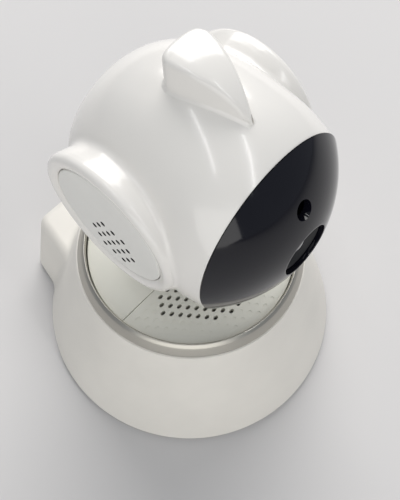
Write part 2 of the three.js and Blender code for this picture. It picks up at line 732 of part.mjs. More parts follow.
function rearCover() {
  const skin = shell.intersect(block([-40, REAR_SEAM + 0.15, -45], [40, 40, 45]));
  const tongueOuter = headForm(HEAD_WALL + GAP, RIM_FORWARD);
  const tongueInner = headForm(HEAD_WALL + 1.6, RIM_FORWARD + 3);
  const band = block([-40, REAR_SEAM - 2.5, -45], [40, REAR_SEAM + 3, 45]);
  const tongue = cut(tongueOuter, tongueInner).intersect(band);
  const bridge = cut(headForm(HEAD_WALL - 0.5, RIM_FORWARD), tongueInner)
    .intersect(block([-40, REAR_SEAM + 0.15, -45], [40, REAR_SEAM + 3, 45]));
  return cut(joined(skin, tongue, bridge), neckSweep());
}
place(head, "head_rear_cover", rearCover(), WHITE_GLOSS);

function faceWindow() {
  const inner = DOME_RADIUS - DOME_WALL;
  const cutForward = RIM_FORWARD + GAP;
  const angleAt = (radius, reach) => THREE.MathUtils.radToDeg(Math.acos(reach / radius));
  const outerEdge = angleAt(DOME_RADIUS, cutForward - DOME_FORWARD);
  const innerEdge = angleAt(inner, cutForward - DOME_FORWARD);
  const outerHole = THREE.MathUtils.radToDeg(Math.asin(LENS_HOLE_RADIUS / DOME_RADIUS));
  const innerHole = THREE.MathUtils.radToDeg(Math.asin(LENS_HOLE_RADIUS / inner));
  const profile = [
    ...arc(DOME_FORWARD, 0, DOME_RADIUS, outerEdge, outerHole, 7),
    ...arc(DOME_FORWARD, 0, inner, innerHole, innerEdge, 5),
  ].map(([forward, radius]) => [radius, -forward]);
  const dome = revolved(profile, { along: "y", sides: 36, at: [0, 0, -FACE_DROP] });
  const sensorHole = rod(SENSOR_HOLE_RADIUS, -45, -20, {
    along: "y",
    at: [0, 0, SENSOR_HOLE_UP - FACE_DROP],
  });
  return cut(dome, sensorHole);
}
place(head, "face_window", faceWindow(), BLACK_GLOSS);

const ON_FACE_AXIS = { along: "y", at: [0, 0, -FACE_DROP] };

function forwardTube(outer, inner, from, to, sides = 28) {
  return tube(outer, inner, -to, -from, { ...ON_FACE_AXIS, sides });
}

function faceFrame() {
  const plate = forwardTube(22.5, 7.2, 22.5, 24.2, 32);
  const wall = forwardTube(21.7, 20.6, 22.5, 28, 32);
  const sensorTower = rod(3.2, -27, -22.6, { along: "y", at: [0, 0, SENSOR_HOLE_UP - FACE_DROP - 2] });
  return joined(plate, wall, sensorTower);
}
place(head, "face_frame", faceFrame(), BLACK_MATTE);

place(
  head,
  "lens_bezel",
  revolved(
    [[5.9, -31], [6.85, -31], [6.85, -36.7], [6.5, -36.9], [4.8, -35.3], [5.9, -34.9]],
    { ...ON_FACE_AXIS, sides: 28 },
  ),
  BLACK_MATTE,
);
place(
  head,
  "lens_barrel",
  revolved(
    [[0, -17.5], [6.4, -17.5], [6.4, -30], [5.6, -30], [5.6, -34.5], [0, -34.5]],
    { ...ON_FACE_AXIS, sides: 28 },
  ),
  BLACK_MATTE,
);
place(
  head,
  "lens_glass",
  revolved(
    [[0, -34.8], [4.4, -34.8], [4.4, -35.2], [3.2, -36], [1.7, -36.5], [0, -36.7]],
    { ...ON_FACE_AXIS, sides: 28 },
  ),
  GLASS,
);

function lensHolder() {
  const body = block([-7.8, -22.2, -7.8 - FACE_DROP], [7.8, -16.5, 7.8 - FACE_DROP]);
  const ears = block([-10.6, -18, -2.2 - FACE_DROP], [10.6, -16.5, 2.2 - FACE_DROP]);
  const bore = rod(6.8, -30, -10, { ...ON_FACE_AXIS, sides: 28 });
  const screwHoles = [9, -9].map((x) => rod(0.9, -30, -10, { along: "y", at: [x, 0, -FACE_DROP] }));
  return cut(joined(body, ears), bore, ...screwHoles);
}
place(head, "lens_holder", lensHolder(), BLACK_MATTE);

function sensorBoard() {
  const board = joined(
    block([-11, -16.2, -12], [11, -15, 10]),
    block([-3.6, -17, -3.6 - FACE_DROP], [3.6, -16, 3.6 - FACE_DROP]),
  );
  const screwHoles = [9, -9].map((x) => rod(1.3, -20, -10, { along: "y", at: [x, 0, -FACE_DROP] }));
  return cut(board, ...screwHoles);
}
place(head, "sensor_board", sensorBoard(), BOARD_GREEN);

const IR_LED_COUNT = 6;
const IR_LED_RADIUS = 14.4;
const IR_LED_START_DEG = 0;

function irBoard() {
  const board = forwardTube(20.2, 7.4, 24.5, 25.7, 32);
  const notch = rod(3.6, -30, -20, { along: "y", at: [0, 0, SENSOR_HOLE_UP - FACE_DROP - 2] });
  return cut(board, notch);
}
place(head, "ir_led_board", irBoard(), BOARD_GREEN);

for (let i = 0; i < IR_LED_COUNT; i += 1) {
  const [x, z] = polar(IR_LED_RADIUS, IR_LED_START_DEG + (360 / IR_LED_COUNT) * i);
  const profile = [[0, -26], [2.6, -26], [2.6, -26.8], [2.2, -26.8], [2.2, -28.6], [1.5, -30], [0, -30.6]];
  const led = revolved(profile, { along: "y", at: [x, 0, z - FACE_DROP], sides: 14 });
  place(head, `ir_led_${i + 1}`, led, LED_CLEAR);
}

place(
  head,
  "light_sensor",
  revolved(
    [[0, -27.3], [1.8, -27.3], [1.8, -29.6], [1.1, -30.6], [0, -30.9]],
    { along: "y", at: [0, 0, SENSOR_HOLE_UP - FACE_DROP - 1], sides: 16 },
  ),
  LED_CLEAR,
);

// Nineteen sound holes in a hexagon, three to five in a row, low on the cap.
const HOLE_PITCH = 3.3;
const HOLE_TURN_DEG = 50.7;
const HOLE_CENTRE = [-0.7, -6.2];
function soundHoles() {
  const centres = [];
  [-2, -1, 0, 1, 2].forEach((row) => {
    const count = 5 - Math.abs(row);
    for (let i = 0; i < count; i += 1) {
      const along = (i - (count - 1) / 2) * HOLE_PITCH;
      const down = row * HOLE_PITCH * Math.sqrt(0.75);
      const turn = THREE.MathUtils.degToRad(HOLE_TURN_DEG);
      const forward = along * Math.cos(turn) + down * Math.sin(turn);
      const up = along * Math.sin(turn) - down * Math.cos(turn);
      centres.push([HOLE_CENTRE[0] - forward, HOLE_CENTRE[1] + up]);
    }
  });
  return centres;
}

function earCap(side) {
  const disc = revolved(
    [[0, 24.6], [EAR_CAP_RADIUS, 24.6], [EAR_CAP_RADIUS, EAR_CAP_X - 0.3],
      [EAR_CAP_RADIUS - 0.3, EAR_CAP_X], [0, EAR_CAP_X]],
    { along: "x", sides: 32 },
  );
  const holder = tube(4.2, 3.3, 22.3, 25, { along: "x", at: [0, 0, -6.2], sides: 24 });
  const plain = side < 0 ? joined(disc, holder) : disc;
  const holes = soundHoles().map(([y, z]) => rod(0.75, 24, 27, { along: "x", at: [0, y, z], sides: 6 }));
  const drilled = cut(plain, ...holes);
  return side > 0 ? drilled : drilled.mirror([1, 0, 0]);
}
place(head, "ear_cap_left", earCap(-1), WHITE_MATTE);
place(head, "ear_cap_right", earCap(1), WHITE_MATTE);

place(
  head,
  "microphone",
  rod(3, -24.3, -22.2, { along: "x", at: [0, 0, -6.2], sides: 20 }),
  STEEL,
);

function tiltMotor() {
  const can = rod(10.2, 11.3, 21.5, { along: "x", sides: 32 });
  const flange = rod(14.7, 21.9, 22.9, { along: "x", sides: 32 });
  const neck = rod(10.2, 21, 22, { along: "x", sides: 32 });
  const driveBore = rod(2.62, 5, 15.4, { along: "x" });
  const holes = [90, -90].map((deg) => {
    const [y, z] = polar(13.3, deg);
    return rod(0.9, 20, 24, { along: "x", at: [0, y, z], sides: 12 });
  });
  return cut(joined(can, neck, flange), driveBore, ...holes);
}
place(head, "tilt_motor", tiltMotor(), STEEL);

[90, 270].forEach((deg, i) => {
  const [y, z] = polar(13.3, deg);
  const cap = rod(1.3, 23.2, 24, { along: "x", at: [0, y, z], sides: 14 });
  const shank = rod(0.6, 18, 23.3, { along: "x", at: [0, y, z], sides: 10 });
  place(head, `tilt_motor_screw_${i + 1}`, joined(cap, shank), STEEL);
});

function pivotBush() {
  const profile = [[2.62, 8.5], [5.6, 8.5], [5.6, 8.75], [3.7, 8.75], [3.7, 10.9], [2.62, 10.9]];
  return revolved(profile, { along: "x", sides: 24 }).mirror([1, 0, 0]);
}
place(head, "pivot_bush", pivotBush(), BRASS_LIKE);

function wifiBoard() {
  const board = block([-9, 15.5, 0], [9, 16.7, 14]);
  const can = block([-5, 14.2, 3], [5, 15.6, 11]);
  return joined(board, can);
}
place(head, "wifi_board", wifiBoard(), BOARD_GREEN);

// The camera's extent along Y runs from the cone's front edge to the pod's foot.
camera.position.y = (BASE_FOOT_RADIUS - POD_END) / 2;

export default camera;
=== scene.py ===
"""A pan and tilt baby monitor camera in Blender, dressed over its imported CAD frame. Metres, +Z up."""

import json
from math import acos, asin, atan2, cos, degrees, hypot, pi, radians, sin, sqrt

import bmesh
import bpy
import numpy as np
from mathutils import Euler, Matrix, Vector


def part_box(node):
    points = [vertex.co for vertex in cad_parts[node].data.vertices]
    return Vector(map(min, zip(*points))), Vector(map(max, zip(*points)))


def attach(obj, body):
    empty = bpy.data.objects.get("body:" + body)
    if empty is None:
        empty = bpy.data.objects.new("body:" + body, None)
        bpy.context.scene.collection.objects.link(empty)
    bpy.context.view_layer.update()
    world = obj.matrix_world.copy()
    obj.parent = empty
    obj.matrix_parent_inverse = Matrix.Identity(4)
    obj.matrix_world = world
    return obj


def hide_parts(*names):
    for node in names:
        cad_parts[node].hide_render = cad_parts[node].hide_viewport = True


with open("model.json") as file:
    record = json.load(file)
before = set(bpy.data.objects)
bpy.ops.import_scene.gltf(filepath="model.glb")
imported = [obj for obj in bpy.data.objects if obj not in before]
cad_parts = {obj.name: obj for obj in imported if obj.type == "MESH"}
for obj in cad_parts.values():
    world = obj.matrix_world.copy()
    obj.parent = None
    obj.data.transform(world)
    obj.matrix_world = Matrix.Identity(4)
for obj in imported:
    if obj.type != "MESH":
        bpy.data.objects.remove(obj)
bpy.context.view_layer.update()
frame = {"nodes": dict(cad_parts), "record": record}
MM = 0.001

# --- Places that come from the frame ---------------------------------------------------------------

JOINTS = {joint["name"]: joint for joint in frame["record"]["behaviour"]["joints"]}
PAN_Y = JOINTS["pan"]["pos_m"][1] / MM
TILT_AT = Vector(JOINTS["tilt"]["pos_m"])
REST_TILT_DEG = 3.9
HEAD_FRAME = Matrix.Translation(TILT_AT) @ Matrix.Rotation(radians(-REST_TILT_DEG), 4, "X")
PAN_FRAME = Matrix.Translation((0, PAN_Y * MM, 0))

# Driving dimensions in millimetres, the same as the CAD part's.
FOOT_RADIUS = 52
CONE_TOP_RADIUS = 36.2
BASE_BOTTOM = 1.4
BASE_TOP = 45.1
WALL = 2.2
POD_END = 55.6
POD_HALF_WIDTH = 28.5
POD_DRAFT_X = 0.225
POD_DRAFT_Y = 0.09
POD_FLARE = 0.22
POD_CORNER = 3.6
RING_TOP = 49.5
TURNTABLE_RADIUS = 32.5
TURNTABLE_TOP = 47
DISC_THICKNESS = 2.4
SEAM_Y = -2.2
BALL_RADIUS = 33.2
BALL_FORWARD = 5.6
FACE_DROP = 1
RIM_FORWARD = 27.8
REAR_SEAM = 21.6
HEAD_REAR = 27.6
REAR_POWER = 2.8
REAR_FULLNESS = 0.32
DOME_RADIUS = 33.9
DOME_FORWARD = 5
LENS_HOLE_RADIUS = 7.2
SENSOR_HOLE_RADIUS = 2.3
SENSOR_HOLE_UP = 14.4
TILT_UP_DEG = 45
TILT_DOWN_DEG = 35


# --- Mesh building ---------------------------------------------------------------------------------


def new_object(name, mesh, material, body, sharp_deg=35):
    """A piece of the camera: smooth shaded, with creases kept, riding on its CAD body."""
    obj = bpy.data.objects.new(name, mesh)
    bpy.context.scene.collection.objects.link(obj)
    mesh.materials.append(material)
    mesh.shade_smooth()
    mesh.set_sharp_from_angle(angle=radians(sharp_deg))
    if body:
        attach(obj, body)
    return obj


def mesh_from(name, rings, loop=False, caps=True, place=PAN_FRAME):
    """Quads between rings of points in millimetres, moved from a local frame into the row frame.

    loop joins the last ring to the first. Otherwise caps closes both ends.
    """
    bm = bmesh.new()
    rows = [[bm.verts.new(place @ (Vector(p) * MM)) for p in ring] for ring in rings]
    count = len(rings[0])
    pairs = list(zip(rows, rows[1:]))
    if loop:
        pairs.append((rows[-1], rows[0]))
    for low, high in pairs:
        for i in range(count):
            j = (i + 1) % count
            bm.faces.new((low[i], low[j], high[j], high[i]))
    if caps and not loop:
        bm.faces.new(rows[0])
        bm.faces.new(rows[-1])
    bmesh.ops.remove_doubles(bm, verts=bm.verts, dist=1e-7)
    bmesh.ops.dissolve_degenerate(bm, edges=bm.edges, dist=1e-8)
    bmesh.ops.recalc_face_normals(bm, faces=bm.faces)
    mesh = bpy.data.meshes.new(name)
    bm.to_mesh(mesh)
    bm.free()
    return mesh


def rounded(profile, radius, steps=4):
    """The profile with each inner corner turned into a short curve."""
    points = [profile[0]]
    for before, corner, after in zip(profile, profile[1:], profile[2:]):
        a, v, b = (Vector(q) for q in (before, corner, after))
        reach_a = min(radius, (a - v).length * 0.45)
        reach_b = min(radius, (b - v).length * 0.45)
        start = v + (a - v).normalized() * reach_a
        end = v + (b - v).normalized() * reach_b
        for i in range(steps + 1):
            t = i / steps
            points.append(tuple(start * (1 - t) ** 2 + v * 2 * t * (1 - t) + end * t**2))
    points.append(profile[-1])
    return points


def arc(u, v, radius, from_deg, to_deg, steps):
    """Points round a centre (u, v), from one angle to the other."""
    angles = [radians(from_deg + (to_deg - from_deg) * i / steps) for i in range(steps + 1)]
    return [(u + radius * cos(a), v + radius * sin(a)) for a in angles]


def turned(name, profile, material, body, along="z", at=(0, 0, 0), sides=96, loop=False,
           place=PAN_FRAME, sharp_deg=35):
    """A body of revolution from (radius, height) points about a line along x, y or z through at."""
    def point(radius, height, angle):
        u, v = radius * cos(angle), radius * sin(angle)
        local = {"z": (u, v, height), "x": (height, u, v), "y": (u, height, v)}[along]
        return [a + b for a, b in zip(local, at)]

    angles = [2 * pi * i / sides for i in range(sides)]
    rings = [[point(r, h, a) for a in angles] for r, h in profile]
    mesh = mesh_from(name, rings, loop=loop, caps=False, place=place)
    return new_object(name, mesh, material, body, sharp_deg)


def prisms(name, outlines, place=PAN_FRAME):
    """One cutter mesh from many (outline, low, high, along) prisms; an outline is (u, v) points."""
    bm = bmesh.new()
    for outline, low, high, along in outlines:
        def corner(u, v, h):
            return {"z": (u, v, h), "x": (h, u, v), "y": (u, h, v)}[along]

        rows = [[bm.verts.new(place @ (Vector(corner(u, v, h)) * MM)) for u, v in outline]
                for h in (low, high)]
        count = len(outline)
        faces = [bm.faces.new(rows[0]), bm.faces.new(rows[1])]
        for i in range(count):
            j = (i + 1) % count
            faces.append(bm.faces.new((rows[0][i], rows[0][j], rows[1][j], rows[1][i])))
        bmesh.ops.recalc_face_normals(bm, faces=faces)
    mesh = bpy.data.meshes.new(name)
    bm.to_mesh(mesh)
    bm.free()
    return bpy.data.objects.new(name, mesh)


def apply_modifiers(obj):
    """Bakes the object's modifiers into its mesh and keeps its shading."""
    bpy.context.view_layer.update()
    depsgraph = bpy.context.evaluated_depsgraph_get()
    baked = bpy.data.meshes.new_from_object(obj.evaluated_get(depsgraph))
    obj.modifiers.clear()
    obj.data = baked


def carve(obj, cutter, sharp_deg=35):
    """Cuts the cutter out of obj, then removes the cutter."""
    bpy.context.scene.collection.objects.link(cutter)
    modifier = obj.modifiers.new("cut", "BOOLEAN")
    modifier.operation = "DIFFERENCE"
    modifier.solver = "EXACT"
    modifier.object = cutter
    apply_modifiers(obj)
    bpy.data.objects.remove(cutter)
    obj.data.shade_smooth()
    obj.data.set_sharp_from_angle(angle=radians(sharp_deg))


def box_outline(u0, v0, u1, v1, radius=0.6, steps=4):
    """A rectangle with rounded corners as an outline of (u, v) points."""
    corners = [(u1 - radius, v1 - radius, 0), (u0 + radius, v1 - radius, 90),
               (u0 + radius, v0 + radius, 180), (u1 - radius, v0 + radius, 270)]
    return [q for u, v, turn in corners for q in arc(u, v, radius, turn, turn + 90, steps)]


def first_outside(distance, near, far, shape):
    """The reach at which a distance turns positive, at every point of a grid, found by halving."""
    near, far = np.full(shape, float(near)), np.full(shape, float(far))
    for _ in range(32):
        middle = (near + far) / 2
        outside = distance(middle) > 0
        far = np.where(outside, middle, far)
        near = np.where(outside, near, middle)
    return (near + far) / 2


def spread_along(u, v, rows, bias=1):
    """Points along a curve: evenly spread, or packed toward its start by a bias above 1."""
    travelled = np.concatenate([[0], np.cumsum(np.hypot(np.diff(u), np.diff(v)))])
    wanted = np.linspace(0, 1, rows) ** bias * travelled[-1]
    return np.interp(wanted, travelled, u), np.interp(wanted, travelled, v)


def circle(u, v, radius, sides=16):
    """A closed outline; its last point stops short of its first."""
    return arc(u, v, radius, 0, 360 - 360 / sides, sides - 1)


# --- Materials -------------------------------------------------------------------------------------


def linear(value):
    """An sRGB channel from 0 to 255 as a linear value."""
    c = value / 255
    return c / 12.92 if c <= 0.04045 else ((c + 0.055) / 1.055) ** 2.4


def surface(name, colour, roughness, variation=0.03, grain_mm=0.25, bump=0.02, metallic=0.0,
            coat=0.0, specular=0.5, patch_mm=18):
    """A procedural surface: slow colour drift, patchy gloss and a fine moulded grain."""
    material = bpy.data.materials.new(name)
    material.use_nodes = True
    nodes, links = material.node_tree.nodes, material.node_tree.links
    shader = nodes["Principled BSDF"]
    base = [linear(channel) for channel in colour]
    shader.inputs["Metallic"].default_value = metallic
    shader.inputs["Specular IOR Level"].default_value = specular
    shader.inputs["Coat Weight"].default_value = coat
    shader.inputs["Coat Roughness"].default_value = 0.06
    place = nodes.new("ShaderNodeTexCoord")
    drift = nodes.new("ShaderNodeTexNoise")
    drift.inputs["Scale"].default_value = 1 / (patch_mm * MM)
    drift.inputs["Detail"].default_value = 3
    links.new(place.outputs["Object"], drift.inputs["Vector"])
    ramp = nodes.new("ShaderNodeValToRGB")
    for element, factor in zip(ramp.color_ramp.elements, (1 - variation, 1 + variation)):
        element.color = (*[min(c * factor, 1) for c in base], 1)
    ramp.color_ramp.elements[0].position = 0.3
    ramp.color_ramp.elements[1].position = 0.7
    links.new(drift.outputs["Fac"], ramp.inputs["Fac"])
    links.new(ramp.outputs["Color"], shader.inputs["Base Color"])
    gloss = nodes.new("ShaderNodeMapRange")
    gloss.inputs["To Min"].default_value = max(roughness - 0.04, 0.01)
    gloss.inputs["To Max"].default_value = roughness + 0.04
    links.new(drift.outputs["Fac"], gloss.inputs["Value"])
    links.new(gloss.outputs["Result"], shader.inputs["Roughness"])
    grain = nodes.new("ShaderNodeTexNoise")
    grain.inputs["Scale"].default_value = 1 / (grain_mm * MM)
    grain.inputs["Detail"].default_value = 2
    links.new(place.outputs["Object"], grain.inputs["Vector"])
    relief = nodes.new("ShaderNodeBump")
    relief.inputs["Strength"].default_value = bump
    relief.inputs["Distance"].default_value = 0.1 * MM
    links.new(grain.outputs["Fac"], relief.inputs["Height"])
    links.new(relief.outputs["Normal"], shader.inputs["Normal"])
    return material


WHITE_SATIN = surface("white_satin_abs", (229, 225, 217), 0.5, bump=0.1, grain_mm=0.3)
WHITE_GLOSS = surface("white_gloss_abs", (234, 231, 226), 0.2, variation=0.012, bump=0.01, coat=0.25)
WHITE_DISC = surface("white_disc_abs", (222, 221, 211), 0.42, bump=0.08, grain_mm=0.3)
WHITE_CAP = surface("white_cap_abs", (229, 228, 223), 0.42, bump=0.08, grain_mm=0.3)
WHITE_INNER = surface("white_inner_abs", (218, 219, 218), 0.55, bump=0.12, grain_mm=0.4)
WINDOW_BLACK = surface("smoked_window", (14, 14, 22), 0.08, variation=0.1, bump=0.004, specular=0.4)
BLACK_MATTE = surface("black_matte_abs", (24, 24, 26), 0.6, variation=0.1, bump=0.2)
TRIM_METAL = surface("satin_chrome", (184, 181, 173), 0.36, metallic=1, bump=0.02, variation=0.02)
STEEL = surface("zinc_steel", (158, 160, 164), 0.35, metallic=1, bump=0.06, variation=0.06, patch_mm=3)
BRONZE = surface("sintered_bronze", (186, 142, 84), 0.45, metallic=1, bump=0.2, variation=0.08)
GOLD = surface("gold_plate", (222, 180, 92), 0.25, metallic=1, bump=0.02, variation=0.02)
NYLON = surface("natural_nylon", (216, 210, 192), 0.5, bump=0.06)
RUBBER = surface("soft_rubber", (46, 46, 48), 0.8, variation=0.12, bump=0.35, specular=0.3)
BOARD = surface("circuit_board", (26, 84, 52), 0.35, variation=0.25, patch_mm=1.6, bump=0.25)
LENS_GLASS = surface("lens_glass", (14, 20, 34), 0.02, variation=0.3, patch_mm=3, bump=0, coat=1)
LED_CLEAR = surface("led_epoxy", (150, 158, 170), 0.08, variation=0.05, bump=0.0, coat=0.5)

SLOT_LOOKS = {
    "white_satin": WHITE_SATIN,
    "white_gloss": WHITE_GLOSS,
    "white_inner": WHITE_INNER,
    "cap_white": WHITE_CAP,
    "trim_metal": TRIM_METAL,
    "window_black": WINDOW_BLACK,
    "black_plastic": BLACK_MATTE,
    "lens_glass": LENS_GLASS,
    "led_clear": LED_CLEAR,
    "board": BOARD,
    "steel": STEEL,
    "bronze": BRONZE,
    "nylon": NYLON,
    "rubber": RUBBER,
}


def dress_cad_nodes():
    """Every CAD node gets the procedural material of its record slot."""
    for part in frame["record"]["subparts"]:
        obj = frame["nodes"][part["node"]]
        for material_slot in obj.material_slots:
            material_slot.material = SLOT_LOOKS[part["material_slot"]]


# --- Base ------------------------------------------------------------------------------------------

# Millimetres. A slant turns a level or upright distance into the one square to a leaning wall.
CONE_FOOT_Z = 2
CONE_SLANT = 0.94
POD_LID_Y = 44
POD_LID_Z = 29.2
POD_LID_SLOPE = 0.09
POD_LID_SLANT = 0.99
POD_LID_ROUND = 2.8
POD_FILLET = 1.6
POD_CORNER_BEARINGS_DEG = (63, 117)
RING_SEAT_DEPTH = 3.4
PORT_CUT_Y = (49, 60)
PORT_BOTTOM = 10.4
JACK_X = 9.5
JACK_HALF_WIDTH = 8.3
JACK_TOP = 24.5
INLET_X = -8
INLET_HALF_WIDTH = 4.2
INLET_TOP = 13.8
BUTTON_X = -16
BUTTON_Z = 14
BUTTON_HOLE_RADIUS = 1.9
CONTACT_PITCH = 1.02


def smooth_union(a, b, reach):
    """The distance to either of two solids, with a fillet where they meet."""
    share = np.clip(0.5 + 0.5 * (b - a) / reach, 0, 1)
    return b * (1 - share) + a * share - reach * share * (1 - share)


def rounded_join(a, b, radius):
    """The distance to the overlap of two solids, with a rounded edge where they meet."""
    u, v = a + radius, b + radius
    outside = np.hypot(np.maximum(u, 0), np.maximum(v, 0))
    return outside + np.minimum(np.maximum(u, v), 0) - radius


def base_distance(x, y, z, inset):
    """About the distance outside the cone with its pod, grown inwards by the inset."""
    lean = (FOOT_RADIUS - CONE_TOP_RADIUS) / (BASE_TOP - CONE_FOOT_Z)
    radius = CONE_TOP_RADIUS + lean * (BASE_TOP - z)
    cone = (np.hypot(x, y) - radius) * CONE_SLANT
    end = POD_END - POD_DRAFT_Y * (z - BASE_BOTTOM)
    half_width = POD_HALF_WIDTH - POD_DRAFT_X * (z - BASE_BOTTOM) + POD_FLARE * (end - y)
    walls = rounded_join(np.abs(x) - half_width, y - end, POD_CORNER)
    walls = np.maximum(walls, -y)
    lid = (z - (POD_LID_Z - POD_LID_SLOPE * (y - POD_LID_Y))) * POD_LID_SLANT
    pod = rounded_join(walls, lid, POD_LID_ROUND)
    return smooth_union(cone, pod, POD_FILLET) + inset


def base_sections(inset, low, high, angles, rows):
    """Outlines up the side of the base, evenly spread along its surface at each bearing."""
    heights = np.linspace(low, high, 700)
    bearing, height = np.meshgrid(angles, heights, indexing="ij")

    def distance(reach):
        return base_distance(reach * np.cos(bearing), reach * np.sin(bearing), height, inset)

    radius = first_outside(distance, 5, 75, bearing.shape)
    sections = np.zeros((rows, len(angles), 3))
    for i, angle in enumerate(angles):
        r, z = spread_along(radius[i], heights, rows)
        sections[:, i] = np.stack([r * cos(angle), r * sin(angle), z], axis=1)
    return sections


def make_base_shell():
    """The hollow cone and its pod, with the ring's seat on top and three ports in the pod's end."""
    corners = [np.radians(np.linspace(middle - 9, middle + 9, 46)) for middle in POD_CORNER_BEARINGS_DEG]
    angles = np.unique(np.concatenate([np.linspace(0, 2 * pi, 260, endpoint=False), *corners]))
    outer = base_sections(0, BASE_BOTTOM + 0.7, BASE_TOP - 0.5, angles, 110)
    inner = base_sections(WALL, BASE_BOTTOM, BASE_TOP - RING_SEAT_DEPTH, angles, 60)

    def drawn_in(ring, by, z):
        lengths = np.hypot(ring[:, 0], ring[:, 1])
        moved = ring.copy()
        moved[:, :2] *= ((lengths - by) / lengths)[:, None]
        moved[:, 2] = z
        return moved

    sole = ((1.2, 0), (0.55, 0), (0.15, 0.3))
    rim = ((0.12, 0.15), (0.45, 0), (1.1, 0), (1.1, 1.6), (2.6, 1.6), (2.6, RING_SEAT_DEPTH))
    foot = [drawn_in(outer[0], by, BASE_BOTTOM + above) for by, above in sole]
    crown = [drawn_in(outer[-1], by, BASE_TOP - below) for by, below in rim]
    rings = [*foot, *outer, *crown, *inner[::-1]]
    mesh = mesh_from("base_moulding", [ring.tolist() for ring in rings], loop=True)
    shell = new_object("base_moulding", mesh, WHITE_SATIN, "base", sharp_deg=40)
    jack = box_outline(JACK_X - JACK_HALF_WIDTH, PORT_BOTTOM, JACK_X + JACK_HALF_WIDTH, JACK_TOP, 0.5)
    inlet = box_outline(INLET_X - INLET_HALF_WIDTH, PORT_BOTTOM, INLET_X + INLET_HALF_WIDTH, INLET_TOP, 1.2)
    button = circle(BUTTON_X, BUTTON_Z, BUTTON_HOLE_RADIUS, 24)
    ports = [(outline, *PORT_CUT_Y, "y") for outline in (jack, inlet, button)]
    carve(shell, prisms("base_ports", ports), 40)
    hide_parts("base_shell")


def make_trim_ring():
    """The plated ring round the turntable, with a softened lip."""
    seat = BASE_TOP + 0.3
    profile = rounded([(34.9, 44), (34.9, seat), (35.8, seat), (35.8, seat + 0.3), (34.3, RING_TOP - 1),
                       (33.5, RING_TOP - 0.15), (33.2, RING_TOP), (32.8, RING_TOP - 0.3), (32.8, 44)],
                      0.25, 3)
    ring = turned("trim_ring_plated", profile, TRIM_METAL, "base", sides=200, loop=True, sharp_deg=50)
    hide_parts("trim_ring")


def make_feet():
    """Rubber feet with a groove round each sole, where the CAD feet are."""
    for i in range(1, 5):
        node = f"foot_{i}"
        low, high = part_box(node)
        x, y = ((low[0] + high[0]) / 2 / MM, (low[1] + high[1]) / 2 / MM)
        profile = rounded([(0, 0.35), (3.4, 0.35), (3.6, 0.05), (4.2, 0.05), (4.4, 0.35), (4.8, 0.35),
                           (5, 0), (5.6, 0), (5.95, 0.5), (5.95, 1.55), (0, 1.55)], 0.2, 3)
        foot = turned(f"foot_pad_{i}", profile, RUBBER, "base", at=(x, y, 0), sides=64,
                      place=Matrix.Identity(4))
        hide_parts(node)


def make_jack_contacts():
    """Eight sprung contacts inside the network socket."""
    bars = []
    for i in range(8):
        left = JACK_X + (i - 3.5) * CONTACT_PITCH - 0.25
        right = left + 0.5
        bars.append(([(left, 19.9), (right, 19.9), (right, 18.9), (left, 18.9)], 42, 49, "y"))
    blank = prisms("jack_contacts", bars)
    contacts = new_object("jack_contacts", blank.data, GOLD, "base")
    bpy.data.objects.remove(blank)


# --- Turntable -------------------------------------------------------------------------------------

# Millimetres. Slots over the speaker go through; the rest of the rows are shallow dimples.
SEAM_GAP = 0.05
SLOT_ROWS = 14
SLOT_PITCH_X = 3.2
SLOT_PITCH_Y = 2.08
SLOT_START_Y = 3.07
SLOT_FIELD_RADIUS = 25.6
DIMPLE_FIELD_RADIUS = 30.4
SLOT_EDGE_X = 19.8
SLOT_EDGE_Y = 5
SLOT_EDGE_SLOPE = 0.62
SLOT_BOTTOM = 43.5
DIMPLE_DEPTH = 0.14
NECK_HALF_WIDTH = 5
NECK_FROM_Y = 7
NECK_TO_Y = 17
NECK_GAP = 0.3


def half_disc(front, inset):
    """The outline of the front or rear half of the turntable, drawn in by an inset."""
    radius = TURNTABLE_RADIUS - inset
    seam = SEAM_Y - SEAM_GAP - inset if front else SEAM_Y + SEAM_GAP + inset
    angle = degrees(asin(seam / radius))
    if front:
        return arc(0, 0, radius, 180 - angle, 360 + angle, 120)
    return arc(0, 0, radius, angle, 180 - angle, 120)


def make_half_disc(name, front, material):
    """Half of the turntable, with a softened top edge."""
    bottom = TURNTABLE_TOP - DISC_THICKNESS
    levels = [(0, bottom), (0, TURNTABLE_TOP - 0.35), (0.04, TURNTABLE_TOP - 0.18),
              (0.14, TURNTABLE_TOP - 0.05), (0.3, TURNTABLE_TOP)]
    rings = [[(x, y, z) for x, y in half_disc(front, inset)] for inset, z in levels]
    return new_object(name, mesh_from(name, rings), material, "turntable", sharp_deg=60)


def slot_outline(x, y, half_length=0.85, half_width=0.52):
    centre = half_length - half_width
    return [*arc(x + centre, y, half_width, -90, 90, 5), *arc(x - centre, y, half_width, 90, 270, 5)]


def sound_slots():
    """Cutters for the staggered rows of slots in the front half."""
    slots = []
    for row in range(1, SLOT_ROWS + 1):
        forward = SLOT_START_Y + SLOT_PITCH_Y * row
        shift = SLOT_PITCH_X / 2 if row % 2 == 0 else 0
        edge = SLOT_EDGE_X + SLOT_EDGE_SLOPE * (forward - SLOT_EDGE_Y)
        for column in range(-10, 11):
            x = SLOT_PITCH_X * column + shift
            radius = hypot(x, forward)
            if radius > DIMPLE_FIELD_RADIUS:
                continue
            through = radius <= SLOT_FIELD_RADIUS and abs(x) <= edge
            depth = SLOT_BOTTOM if through else TURNTABLE_TOP - DIMPLE_DEPTH
            slots.append((slot_outline(x, -forward), depth, TURNTABLE_TOP + 0.5, "z"))
    return slots


